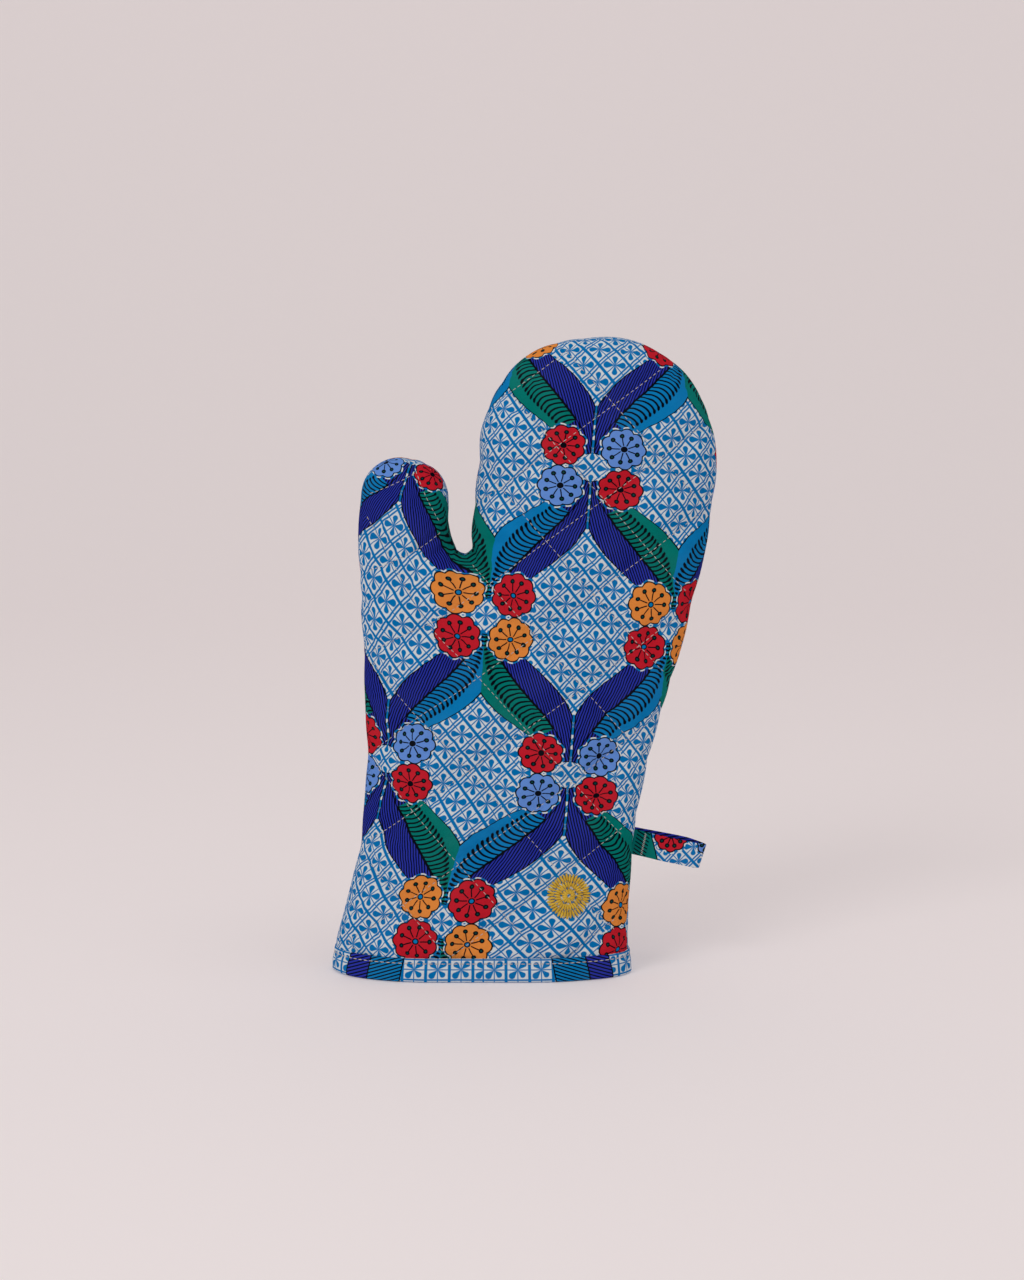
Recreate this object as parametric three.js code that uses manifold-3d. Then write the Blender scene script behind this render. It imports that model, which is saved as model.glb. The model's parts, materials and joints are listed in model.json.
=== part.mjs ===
// A quilted cotton oven mitt, standing on its open cuff.
// Two hand-shaped panels are sewn together round the edge. Each is three layers deep: printed cotton outside,
// wadding in the middle, plain lining inside. A folded band binds the cuff, a short loop hangs from the side seam,
// quilting thread holds the layers together, and a round embroidered motif sits near the cuff.
// Millimetres, +Z up, +X towards the side with the loop, -Y towards the front. The origin is the bottom centre.
import * as THREE from "three";
import { mergeVertices } from "three/addons/utils/BufferGeometryUtils.js";
import Module from "manifold-3d";

const wasm = await Module();
wasm.setup();

// Driving dimensions
const GAP = 0.3; // air between neighbouring pieces
const FABRIC = 1.0; // printed cotton
const WADDING = 4.0;
const LINING = 0.8;
const TAPE = 0.8; // one wall of the cuff binding
const BINDING_HEIGHT = 12.5;
const RAW_EDGE = 1.5; // height at which the panels end, inside the binding
const HAND_HALF_DEPTH = 27; // front to middle at the palm
const CUFF_HALF_DEPTH = 33; // front to middle at the cuff
const CUFF_FLARE_HEIGHT = 110; // the flare of the cuff ends here
const ROUNDING = 50; // distance from the edge at which a panel reaches its full depth
const THREAD = 0.6;
// The quilting: two sets of parallel lines, each at a tilt in degrees above the horizontal. One line of each set
// passes its own start distance above the centre.
const QUILT = {
  spacing: 36,
  centre: { x: 20, z: 165 },
  sets: [
    { tilt: 36, start: 6 },
    { tilt: -48, start: 15 },
  ],
};
const TOPSTITCH = 9.8; // height of the stitching that holds the cuff binding
const OPEN_END = 30; // the form runs this far below the cuff, and is cut off there
const THUMB_COLUMNS = 5; // quads across the thumb and the palm below it
const HAND_COLUMNS = 8;
const PALM_ROWS = 8;
const THUMB_ROWS = 4;
const HAND_ROWS = 6;
const MOTIF = { x: 45, z: 44.5, radius: 11 };
const LOOP = { width: 13, length: 36, wall: 1.2, opening: 5, droop: 12, x: 80.5, z: 67, tail: 5.4, start: 1.9 };

// Outline of the mitt from the cuff's left corner, over the thumb, down to the crotch, over the fingers and down
// the right side, as [x, z] stations with the two round tips made as arcs.
const THUMB_TIP = { x: -39.5, z: 244, rx: 24, rz: 24.5, power: 2.1 };
const FINGER_TIP = { x: 59.5, z: 262, rx: 62, rz: 68, power: 2.25 };
const CROTCH = { x: -9, z: 220.5, drop: 1.6 }; // drop: how far a layer lies under the next, per unit of thickness
const LEFT_SIDE = [
  [-77, 0],
  [-76, 15],
  [-71, 34],
  [-65, 62],
  [-61, 95],
  [-60.5, 132],
  [-62.5, 180],
  [-63.8, 222],
];
const THUMB_INSIDE = [
  [-14.6, 234],
  [-12.8, 225],
];
const FINGER_INSIDE = [
  [-6.4, 224],
  [-5.4, 236],
  [-4.2, 250],
];
const RIGHT_SIDE = [
  [118, 230],
  [107.5, 184],
  [97.5, 148],
  [88.5, 116],
  [82, 84],
  [78.2, 50],
  [76.5, 18],
  [77.5, 0],
];

// One quarter of a rounded tip, from one compass angle to another in degrees.
function tipArc(tip, fromAngle, toAngle, steps = 8) {
  const points = [];
  for (let i = 0; i <= steps; i++) {
    const a = THREE.MathUtils.degToRad(THREE.MathUtils.lerp(fromAngle, toAngle, i / steps));
    const c = Math.cos(a);
    const s = Math.sin(a);
    points.push([
      tip.x + tip.rx * Math.sign(c) * Math.abs(c) ** (2 / tip.power),
      tip.z + tip.rz * Math.abs(s) ** (2 / tip.power),
    ]);
  }
  return points;
}

// The outline as four chains that each run one way in height: up the left side, down to the crotch, up to the
// finger tip, and down the right side.
function outlineChains() {
  const stations = [
    [...LEFT_SIDE, ...tipArc(THUMB_TIP, 180, 90)],
    [...tipArc(THUMB_TIP, 90, 0), ...THUMB_INSIDE, [CROTCH.x, CROTCH.z]],
    [[CROTCH.x, CROTCH.z], ...FINGER_INSIDE, ...tipArc(FINGER_TIP, 180, 90)],
    [...tipArc(FINGER_TIP, 90, 0), ...RIGHT_SIDE],
  ];
  return stations.map((list) => {
    const curve = new THREE.CatmullRomCurve3(
      list.map(([x, z]) => new THREE.Vector3(x, 0, z)),
      false,
      "centripetal",
    );
    return curve.getSpacedPoints(70).map((p) => new THREE.Vector2(p.x, p.z));
  });
}
const CHAINS = outlineChains();

// Where a chain stands at a height.
function edgeAt(chain, z) {
  for (let i = 1; i < chain.length; i++) {
    const a = chain[i - 1];
    const b = chain[i];
    if ((a.y - z) * (b.y - z) <= 0 && a.y !== b.y) {
      return THREE.MathUtils.lerp(a.x, b.x, (z - a.y) / (b.y - a.y));
    }
  }
  const first = chain[0];
  const last = chain[chain.length - 1];
  return Math.abs(first.y - z) < Math.abs(last.y - z) ? first.x : last.x;
}

// Half the depth of the mitt at a place: a smooth mean distance to the outline, rounded off like a pillow.
function depthFunction() {
  const BELOW_CUFF = 120; // the sides go on below the cuff, so that the open end doesn't close in
  const STEP = 3;
  const samples = [];
  for (const chain of CHAINS) {
    for (let i = 1; i < chain.length; i++) {
      const middle = chain[i].clone().add(chain[i - 1]).multiplyScalar(0.5);
      samples.push({ x: middle.x, z: middle.y, weight: chain[i].distanceTo(chain[i - 1]) });
    }
  }
  const [leftEnd, rightEnd] = [LEFT_SIDE[0], RIGHT_SIDE[RIGHT_SIDE.length - 1]];
  for (let down = STEP / 2; down < BELOW_CUFF; down += STEP) {
    samples.push({ x: leftEnd[0], z: leftEnd[1] - down, weight: STEP });
    samples.push({ x: rightEnd[0], z: rightEnd[1] - down, weight: STEP });
  }
  return (x, z) => {
    let sum = 0;
    for (const s of samples) {
      const square = (s.x - x) ** 2 + (s.z - z) ** 2 + 0.01;
      sum += s.weight / square ** 2;
    }
    const distance = Math.cbrt(Math.PI / 2 / sum);
    const share = Math.min(1, distance / ROUNDING);
    const flare = THREE.MathUtils.clamp(1 - z / CUFF_FLARE_HEIGHT, 0, 1);
    return THREE.MathUtils.lerp(HAND_HALF_DEPTH, CUFF_HALF_DEPTH, flare) * Math.sqrt(1 - (1 - share) ** 2);
  };
}

// The triangle corners of the mitt's outer surface, front and back, from below the cuff to the tips, and those of
// the flat face that closes it below the cuff.
function mittSurface() {
  const depth = depthFunction();
  const corners = [];
  const ends = [];
  // A block of rows between two chains or lines. An edge of the block that is an edge of the mitt has no depth.
  function block({ rows, columns, heightAt, leftAt, rightAt, leftIsEdge, rightIsEdge }) {
    for (const side of [-1, 1]) {
      const grid = [];
      for (let j = 0; j <= rows; j++) {
        const z = heightAt(j / rows);
        const [x0, x1] = [leftAt(z), rightAt(z)];
        const row = [];
        for (let i = 0; i <= columns; i++) {
          const x = THREE.MathUtils.lerp(x0, x1, (1 - Math.cos((Math.PI * i) / columns)) / 2);
          const atCrotch = z === CROTCH.z && Math.abs(x - CROTCH.x) < 0.01;
          const onEdge = (i === 0 && leftIsEdge) || (i === columns && rightIsEdge) || x1 - x0 < 0.01;
          row.push(new THREE.Vector3(x, onEdge || atCrotch ? 0 : side * depth(x, z), z));
        }
        grid.push(row);
      }
      for (let j = 0; j < rows; j++) {
        for (let i = 0; i < columns; i++) {
          const quad = [grid[j][i], grid[j][i + 1], grid[j + 1][i + 1], grid[j + 1][i]];
          const [a, b, c, d] = side < 0 ? quad : quad.reverse();
          corners.push(a, b, c, a, c, d);
        }
      }
      if (heightAt(0) < 0) ends.push(grid[0]);
    }
  }
  const [left, down, up, right] = CHAINS;
  const alongChain = (chain) => (z) => edgeAt(chain, z);
  const palmHeight = (t) => (t === 1 ? CROTCH.z : THREE.MathUtils.lerp(-OPEN_END, CROTCH.z, t));
  const tipHeight = (top) => (t) => CROTCH.z + (top - CROTCH.z) * Math.sin((Math.PI / 2) * t);
  const palm = { rows: PALM_ROWS, heightAt: palmHeight };
  const middle = () => CROTCH.x;
  block({ ...palm, columns: THUMB_COLUMNS, leftAt: alongChain(left), rightAt: middle, leftIsEdge: true });
  block({ ...palm, columns: HAND_COLUMNS, leftAt: middle, rightAt: alongChain(right), rightIsEdge: true });
  const tip = { leftIsEdge: true, rightIsEdge: true };
  block({
    ...tip,
    rows: THUMB_ROWS,
    columns: THUMB_COLUMNS,
    heightAt: tipHeight(THUMB_TIP.z + THUMB_TIP.rz),
    leftAt: alongChain(left),
    rightAt: alongChain(down),
  });
  block({
    ...tip,
    rows: HAND_ROWS,
    columns: HAND_COLUMNS,
    heightAt: tipHeight(FINGER_TIP.z + FINGER_TIP.rz),
    leftAt: alongChain(up),
    rightAt: alongChain(right),
  });
  const caps = [];
  for (const [front, back] of [ends.slice(0, 2), ends.slice(2, 4)]) {
    for (let i = 1; i < front.length; i++) {
      caps.push(front[i - 1], back[i - 1], back[i], front[i - 1], back[i], front[i]);
    }
  }
  return { corners, caps };
}

// Triangle corners as an indexed geometry, without triangles that have shrunk to a line.
function indexedGeometry(corners) {
  const merged = mergeVertices(new THREE.BufferGeometry().setFromPoints(corners), 1e-3);
  const kept = [];
  const index = merged.index.array;
  for (let i = 0; i < index.length; i += 3) {
    const [a, b, c] = index.subarray(i, i + 3);
    if (a !== b && b !== c && c !== a) kept.push(a, b, c);
  }
  return merged.setIndex(kept);
}

// The mitt's form, closed below the cuff. Its normals leave out the closing face, so that a form moved inwards
// along them keeps an upright wall there. At the crotch the layers lie under one another, so it moves straight down.
function closedForm() {
  const { corners, caps } = mittSurface();
  const form = indexedGeometry([...corners, ...caps]);
  const sides = indexedGeometry(corners);
  sides.computeVertexNormals();
  form.setAttribute("normal", sides.getAttribute("normal"));
  const position = form.getAttribute("position");
  for (let i = 0; i < position.count; i++) {
    const isCrotch = Math.abs(position.getX(i) - CROTCH.x) < 0.1 && Math.abs(position.getZ(i) - CROTCH.z) < 0.1;
    if (isCrotch && position.getY(i) === 0) form.getAttribute("normal").setXYZ(i, 0, 0, CROTCH.drop);
  }
  return form;
}
const FORM = closedForm();

// A closed solid of the whole form with its surface moved inwards by inset.
function mittBody(inset) {
  const position = FORM.getAttribute("position");
  const normal = FORM.getAttribute("normal");
  const moved = new Float32Array(position.count * 3);
  for (let i = 0; i < position.count; i++) {
    const point = new THREE.Vector3().fromBufferAttribute(position, i);
    point.addScaledVector(new THREE.Vector3().fromBufferAttribute(normal, i), -inset).toArray(moved, i * 3);
  }
  return new wasm.Manifold(
    new wasm.Mesh({ numProp: 3, vertProperties: moved, triVerts: new Uint32Array(FORM.index.array) }),
  );
}

// A closed three.js geometry as a manifold-3d solid.
function solidFromGeometry(geometry) {
  const bare = new THREE.BufferGeometry()
    .setAttribute("position", geometry.getAttribute("position"))
    .setIndex(geometry.index);
  const merged = mergeVertices(bare, 1e-4);
  return new wasm.Manifold(
    new wasm.Mesh({
      numProp: 3,
      vertProperties: merged.attributes.position.array,
      triVerts: new Uint32Array(merged.index.array),
    }),
  );
}

// A box between two corners, as a solid.
function boxSolid(low, high) {
  const size = new THREE.Vector3().subVectors(high, low);
  const middle = new THREE.Vector3().addVectors(low, high).multiplyScalar(0.5);
  const geometry = new THREE.BoxGeometry(size.x, size.y, size.z).translate(middle.x, middle.y, middle.z);
  return solidFromGeometry(geometry);
}
const FAR = 400;
const frontHalf = boxSolid(new THREE.Vector3(-FAR, -FAR, -FAR), new THREE.Vector3(FAR, -GAP / 2, FAR));
const backHalf = boxSolid(new THREE.Vector3(-FAR, GAP / 2, -FAR), new THREE.Vector3(FAR, FAR, FAR));
const heights = (low, high) => boxSolid(new THREE.Vector3(-FAR, -FAR, low), new THREE.Vector3(FAR, FAR, high));

// The largest of a solid's separate bodies: the short corner runs that touch no other line are left out.
function largestBody(solid) {
  return solid.decompose().reduce((best, body) => (body.volume() > best.volume() ? body : best));
}

// A solid as a named mesh with its material.
function meshOf(name, solid, material) {
  const made = solid.getMesh();
  const position = new Float32Array(made.numVert * 3);
  for (let i = 0; i < made.numVert; i++) {
    position.set(made.vertProperties.subarray(i * made.numProp, i * made.numProp + 3), i * 3);
  }
  const geometry = new THREE.BufferGeometry()
    .setAttribute("position", new THREE.BufferAttribute(position, 3))
    .setIndex(new THREE.BufferAttribute(made.triVerts, 1));
  geometry.computeVertexNormals();
  const mesh = new THREE.Mesh(geometry, material);
  mesh.name = name;
  return mesh;
}

const MATERIALS = {
  print: new THREE.MeshStandardMaterial({ color: 0x4f86bd, roughness: 0.85, metalness: 0 }),
  wadding: new THREE.MeshStandardMaterial({ color: 0xe9e6df, roughness: 0.95, metalness: 0 }),
  lining: new THREE.MeshStandardMaterial({ color: 0xd8d6d4, roughness: 0.9, metalness: 0 }),
  thread: new THREE.MeshStandardMaterial({ color: 0xd4ccc8, roughness: 0.7, metalness: 0 }),
  gold: new THREE.MeshStandardMaterial({ color: 0xc4a32e, roughness: 0.6, metalness: 0 }),
};

// Each layer's outer and inner inset from the mitt's outer surface
const waddingStart = FABRIC + GAP;
const liningStart = waddingStart + WADDING + GAP;
const LAYERS = [
  { name: "outer_panel", from: 0, to: FABRIC, material: MATERIALS.print },
  { name: "wadding", from: waddingStart, to: waddingStart + WADDING, material: MATERIALS.wadding },
  { name: "lining", from: liningStart, to: liningStart + LINING, material: MATERIALS.lining },
];
const bindingInside = liningStart + LINING + GAP;

// The strip at an angle below the horizontal: its own frame has +X along the strip and +Z across its width.
function placeLoop(solid) {
  return solid.rotate([0, LOOP.droop, 0]).translate([LOOP.x, 0, LOOP.z]);
}

// The free part of the hanging loop: a folded strip, seen from above as a slim teardrop.
function loopSolid() {
  const { start, wall, length, width } = LOOP;
  const spread = 12; // the two legs are fully apart this far from the root
  const root = wall + GAP / 2;
  const inside = LOOP.opening / 2;
  const widest = inside + wall;
  const bend = start + spread / 2;
  const outer = new THREE.Shape();
  outer.moveTo(start, -root);
  outer.bezierCurveTo(bend, -root, bend, -widest, start + spread, -widest);
  outer.lineTo(length - widest, -widest);
  outer.absarc(length - widest, 0, widest, -Math.PI / 2, Math.PI / 2, false);
  outer.lineTo(start + spread, widest);
  outer.bezierCurveTo(bend, widest, bend, root, start, root);
  outer.closePath();
  const fork = start + 1.5; // the two legs are one from here to the seam
  const hole = new THREE.Path();
  hole.moveTo(fork, -GAP / 2);
  hole.bezierCurveTo(bend, -GAP / 2, bend, -inside, start + spread, -inside);
  hole.lineTo(length - widest, -inside);
  hole.absarc(length - widest, 0, inside, -Math.PI / 2, Math.PI / 2, false);
  hole.lineTo(start + spread, inside);
  hole.bezierCurveTo(bend, inside, bend, GAP / 2, fork, GAP / 2);
  hole.closePath();
  outer.holes.push(hole);
  const geometry = new THREE.ExtrudeGeometry(outer, { depth: width, bevelEnabled: false, curveSegments: 5 });
  return placeLoop(solidFromGeometry(geometry.translate(0, 0, -width / 2)));
}

// The end of the strip that the side seam holds.
function tailSolid() {
  const reach = LOOP.start - 2 * GAP; // short of the loop, which turns close by
  const half = { y: LOOP.wall, z: LOOP.width / 2 };
  const low = new THREE.Vector3(-LOOP.tail, -half.y, -half.z);
  return placeLoop(boxSolid(low, new THREE.Vector3(reach, half.y, half.z)));
}

// The slot in the side seam that the strip comes out of, with room on each side of the strip.
function tailSlot(room) {
  const half = { y: LOOP.wall + room, z: LOOP.width / 2 + GAP };
  const low = new THREE.Vector3(-LOOP.tail - GAP, -half.y, -half.z);
  return placeLoop(boxSolid(low, new THREE.Vector3(FAR, half.y, half.z)));
}

// A close bar of stitches across the front leg of the loop.
function barTackSolid() {
  const along = { low: LOOP.start + 1, high: LOOP.start + 1 + THREAD };
  const face = -LOOP.wall - 2 * GAP;
  const half = LOOP.width / 2 - 1;
  const low = new THREE.Vector3(along.low, face - THREAD, -half);
  return placeLoop(boxSolid(low, new THREE.Vector3(along.high, face, half)));
}

// The quilting lines as thin upright slabs through the whole mitt.
function quiltSlabs() {
  const slabs = [];
  const reach = Math.ceil(FAR / 2 / QUILT.spacing);
  for (const { tilt, start } of QUILT.sets) {
    for (let n = -reach; n <= reach; n++) {
      const offset = n * QUILT.spacing + start;
      const low = new THREE.Vector3(-FAR, -FAR, offset - THREAD / 2);
      const high = new THREE.Vector3(FAR, FAR, offset + THREAD / 2);
      slabs.push(boxSolid(low, high).rotate([0, -tilt, 0]).translate([QUILT.centre.x, 0, QUILT.centre.z]));
    }
  }
  return slabs.reduce((all, slab) => all.add(slab));
}

// A cylinder through the mitt's front at the place of the motif.
function motifColumn(radius) {
  const geometry = new THREE.CylinderGeometry(radius, radius, FAR, 24);
  return solidFromGeometry(geometry.translate(MOTIF.x, -FAR / 2, MOTIF.z));
}

const mitt = new THREE.Group();
const slot = tailSlot(GAP);
const aboveFloor = heights(RAW_EDGE, FAR);
for (const layer of LAYERS) {
  const shell = mittBody(layer.from).subtract(mittBody(layer.to)).subtract(slot).intersect(aboveFloor);
  mitt.add(meshOf("front_" + layer.name, shell.intersect(frontHalf), layer.material));
  mitt.add(meshOf("back_" + layer.name, shell.intersect(backHalf), layer.material));
}

// The binding is a channel that holds the layers' raw edges.
const overFabric = mittBody(-GAP);
const overBinding = mittBody(-GAP - TAPE);
const channel = overFabric.subtract(mittBody(bindingInside)).intersect(heights(TAPE + GAP, FAR));
const band = overBinding.subtract(mittBody(bindingInside + TAPE)).subtract(channel);
mitt.add(meshOf("cuff_binding", band.intersect(heights(0, BINDING_HEIGHT)), MATERIALS.print));

const stitchLayer = mittBody(-2 * GAP - TAPE - THREAD).subtract(mittBody(-2 * GAP - TAPE));
const stitchHeights = heights(TOPSTITCH, TOPSTITCH + THREAD);
mitt.add(meshOf("cuff_topstitching", stitchLayer.intersect(stitchHeights), MATERIALS.thread));

const LOOP_SWING = 8; // the quilting thread stops this far in front of and behind the loop, which folds flat there
const threadLayer = mittBody(-GAP - THREAD).subtract(overFabric).subtract(tailSlot(LOOP_SWING));
const quilting = threadLayer.intersect(quiltSlabs()).intersect(heights(BINDING_HEIGHT + GAP, FAR));
const frontQuilting = quilting.intersect(frontHalf).subtract(motifColumn(MOTIF.radius + GAP));
mitt.add(meshOf("front_quilting_thread", largestBody(frontQuilting), MATERIALS.thread));
mitt.add(meshOf("back_quilting_thread", largestBody(quilting.intersect(backHalf)), MATERIALS.thread));

mitt.add(meshOf("embroidered_motif", threadLayer.intersect(motifColumn(MOTIF.radius)), MATERIALS.gold));
mitt.add(meshOf("hanging_loop", loopSolid(), MATERIALS.print));
mitt.add(meshOf("loop_seam_end", tailSolid(), MATERIALS.print));
mitt.add(meshOf("loop_bar_tack", barTackSolid(), MATERIALS.thread));

// The origin is the bottom centre of the whole mitt's box.
const box = new THREE.Box3().setFromObject(mitt);
mitt.position.set(-(box.min.x + box.max.x) / 2, -(box.min.y + box.max.y) / 2, -box.min.z);

export default mitt;
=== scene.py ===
# %% [markdown]
# # A quilted cotton oven mitt
# The mitt stands on its open cuff. It is sewn from a printed front and back, each quilted to its wadding,
# with a bound cuff, a folded loop in the side seam and a small gold embroidery. The frame that is loaded
# first says where each piece is. Every visible surface is then made again here as cloth and thread.

# %% Load the frame
import json
import math

import bpy
import numpy as np
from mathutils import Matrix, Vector
from mathutils.bvhtree import BVHTree
from mathutils.geometry import delaunay_2d_cdt


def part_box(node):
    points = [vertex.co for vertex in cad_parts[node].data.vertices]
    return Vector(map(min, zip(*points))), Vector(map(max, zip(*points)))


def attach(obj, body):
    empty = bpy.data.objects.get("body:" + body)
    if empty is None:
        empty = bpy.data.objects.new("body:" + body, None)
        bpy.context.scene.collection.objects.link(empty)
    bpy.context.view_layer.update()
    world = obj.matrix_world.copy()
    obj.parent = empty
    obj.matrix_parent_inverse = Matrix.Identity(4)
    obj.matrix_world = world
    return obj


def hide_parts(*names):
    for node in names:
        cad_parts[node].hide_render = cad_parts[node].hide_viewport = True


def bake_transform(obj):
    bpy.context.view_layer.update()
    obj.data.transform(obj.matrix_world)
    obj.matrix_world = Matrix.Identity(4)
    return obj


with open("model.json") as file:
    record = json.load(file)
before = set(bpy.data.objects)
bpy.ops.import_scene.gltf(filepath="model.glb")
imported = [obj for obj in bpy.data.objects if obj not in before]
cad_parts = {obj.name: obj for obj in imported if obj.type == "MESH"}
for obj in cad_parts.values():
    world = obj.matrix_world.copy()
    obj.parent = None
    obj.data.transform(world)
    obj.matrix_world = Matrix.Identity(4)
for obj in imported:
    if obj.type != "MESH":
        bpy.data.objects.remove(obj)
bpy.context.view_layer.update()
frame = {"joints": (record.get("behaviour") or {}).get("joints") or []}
bpy.ops.object.select_all(action="DESELECT")
bpy.context.scene.view_settings.view_transform = "Standard"
MM = 0.001

# %% [markdown]
# ## The outline of a panel
# A mitt's front and back are cut to one outline: up the thumb, down into the crotch, over the fingers and
# down the other side. It is drawn in millimetres as a few stations, with the two round tips as arcs, and x
# is counted from the middle of the cuff. A smooth curve goes through the stations, and the crotch stays a
# sharp corner.

# %% Curves and arcs
CUFF_LOW, CUFF_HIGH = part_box("cuff_binding")
CUFF_X = (CUFF_LOW.x + CUFF_HIGH.x) / 2 / MM - 0.25  # the cuff's middle, in the frame's own x
BINDING_TOP = CUFF_HIGH.z / MM


def curve_through(stations, spacing):
    """Points at an even spacing on a centripetal Catmull-Rom curve through the stations."""
    p = np.array(stations, float)
    p = np.vstack([2 * p[0] - p[1], p, 2 * p[-1] - p[-2]])
    dense = []
    for a, b, c, d in zip(p, p[1:], p[2:], p[3:]):
        t0 = 0.0
        t1 = t0 + np.linalg.norm(b - a) ** 0.5
        t2 = t1 + np.linalg.norm(c - b) ** 0.5
        t3 = t2 + np.linalg.norm(d - c) ** 0.5
        t = np.linspace(t1, t2, 24, endpoint=False)[:, None]
        ab = ((t1 - t) * a + (t - t0) * b) / (t1 - t0)
        bc = ((t2 - t) * b + (t - t1) * c) / (t2 - t1)
        cd = ((t3 - t) * c + (t - t2) * d) / (t3 - t2)
        abc = ((t2 - t) * ab + (t - t0) * bc) / (t2 - t0)
        bcd = ((t3 - t) * bc + (t - t1) * cd) / (t3 - t1)
        dense.append(((t2 - t) * abc + (t - t1) * bcd) / (t2 - t1))
    return evenly(np.vstack([*dense, p[-2:-1]]), spacing)


def evenly(path, spacing):
    """The same path with its points at an even spacing."""
    run = np.concatenate([[0], np.cumsum(np.linalg.norm(np.diff(path, axis=0), axis=1))])
    at = np.linspace(0, run[-1], max(2, round(run[-1] / spacing)) + 1)
    return np.stack([np.interp(at, run, path[:, k]) for k in range(path.shape[1])], axis=1)


def tip_arc(x, z, rx, rz, power, steps=12):
    """A round tip from its left side over the top to its right side, a little squarer than an ellipse."""
    a = np.radians(np.linspace(180, 0, steps + 1))
    c, s = np.cos(a), np.sin(a)
    return np.stack([x + rx * np.sign(c) * abs(c) ** (2 / power), z + rz * abs(s) ** (2 / power)], axis=1)


# %% The outline's stations
THUMB_TIP = tip_arc(-39.5, 244, 24, 24.5, 2.1)
FINGER_TIP = tip_arc(59.5, 262, 62, 68, 2.25)
CROTCH = (-8.5, 220.5)
LEFT_SIDE = [(-77, 1.5), (-76, 15), (-71, 34), (-65, 62), (-61, 95), (-60.5, 132), (-62.5, 180), (-63.8, 222)]
THUMB_INSIDE = [(-14.8, 234), (-13.2, 227)]
FINGER_INSIDE = [(-6.6, 224), (-5.2, 236), (-4.0, 250)]
RIGHT_ABOVE = [(118, 230), (107.5, 184), (97.5, 148), (88.5, 116)]
RIGHT_BELOW = [(82, 84), (78.2, 50), (76.5, 18), (77.5, 1.5)]
HEM = LEFT_SIDE[0][1]  # the panels end at this height, inside the cuff's binding
EDGE_STEP = 1.8

thumb_side = curve_through([*LEFT_SIDE, *THUMB_TIP, *THUMB_INSIDE, CROTCH], EDGE_STEP)
finger_side = curve_through([CROTCH, *FINGER_INSIDE, *FINGER_TIP, *RIGHT_ABOVE, *RIGHT_BELOW], EDGE_STEP)
OUTLINE = np.vstack([thumb_side, finger_side[1:]])
print("outline:", len(OUTLINE), "points,", round(OUTLINE[:, 1].max()), "mm tall")

# %% [markdown]
# ## The form of the stuffed mitt
# Standing open, the mitt is a flat pillow: full depth in the middle, and round at the sides where front and
# back meet. The depth at a point depends on how far the outline is from it. A plain nearest distance would
# leave ridges along the middle of the thumb and fingers, so a mean over the whole outline is used, in which
# near points count most. The cuff is a little deeper than the hand.

# %% Depth of the form
HAND_DEPTH = 27.0  # from the seam's plane to the front
CUFF_DEPTH = 33.0
FLARE_HEIGHT = 110.0
ROUNDING = 50.0  # this far from the edge the form has its full depth


def rounded_depth(distance, z):
    """Half the form's depth at a distance from the outline."""
    share = np.minimum(1, distance / ROUNDING)
    full = HAND_DEPTH + (CUFF_DEPTH - HAND_DEPTH) * np.clip(1 - z / FLARE_HEIGHT, 0, 1)
    return full * np.sqrt(1 - (1 - share) ** 2)


def mean_distance(points):
    """The smooth distance of points to the outline, which goes on straight down below the cuff."""
    below = np.arange(EDGE_STEP / 2, 120, EDGE_STEP)
    ends = (OUTLINE[0], OUTLINE[-1])
    tails = [np.stack([np.full(len(below), x), z - below], axis=1) for x, z in ends]
    samples = np.vstack([(OUTLINE[1:] + OUTLINE[:-1]) / 2, *tails])
    total = np.zeros(len(points))
    for s in samples:
        total += EDGE_STEP / (((points - s) ** 2).sum(axis=1) + 0.01) ** 2
    return np.cbrt(math.pi / 2 / total)


# %% [markdown]
# ## Where the quilting runs
# Two sets of straight stitch lines cross the flat cloth and make diamonds. Sewing the thumb turned the
# cloth there a little, so the lines and the print turn with it. `laid_flat` says where a point of the panel
# was on the cloth before that, and on the flat cloth every line is straight again.

# %% Quilting lines
QUILT_CENTRE = np.array([20.0, 165.0])
QUILT_SPACING = 36.0
QUILT_SETS = [(36, 6), (-48, 15)]  # tilt in degrees, and the first line's distance above the centre
THUMB_TURN = 12.0
THUMB_PIVOT = np.array([-25.0, 195.0])
LINE_STEP = 1.8
LINE_REACH = 260  # each line runs this far to both sides of the centre


def smooth(t):
    """A soft step from 0 to 1."""
    t = np.clip(t, 0, 1)
    return t * t * (3 - 2 * t)


def turned(points, degrees):
    """Points turned anticlockwise about the origin."""
    c, s = np.cos(np.radians(degrees)), np.sin(np.radians(degrees))
    x, z = points[:, 0], points[:, 1]
    return np.stack([x * c - z * s, x * s + z * c], axis=1)


def thumb_turn(points):
    """The cloth's turn at each point, in degrees: all of it on the thumb and none on the palm."""
    return THUMB_TURN * smooth((-5 - points[:, 0]) / 35) * smooth((points[:, 1] - 110) / 90)


def laid_flat(points):
    """Panel points as they were on the flat cloth."""
    return THUMB_PIVOT + turned(points - THUMB_PIVOT, thumb_turn(points))


def sewn(points):
    """The other way round: points of the flat cloth, placed on the panel."""
    out = points.copy()
    for _ in range(30):
        out = THUMB_PIVOT + turned(points - THUMB_PIVOT, -thumb_turn(out))
    return out


def line_distances(points):
    """For each set of lines, how far points are from the nearest line."""
    found = []
    for tilt, start in QUILT_SETS:
        a = math.radians(tilt)
        across = (laid_flat(points) - QUILT_CENTRE) @ np.array([-math.sin(a), math.cos(a)]) - start
        found.append(abs(across - QUILT_SPACING * np.round(across / QUILT_SPACING)))
    return found


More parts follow.
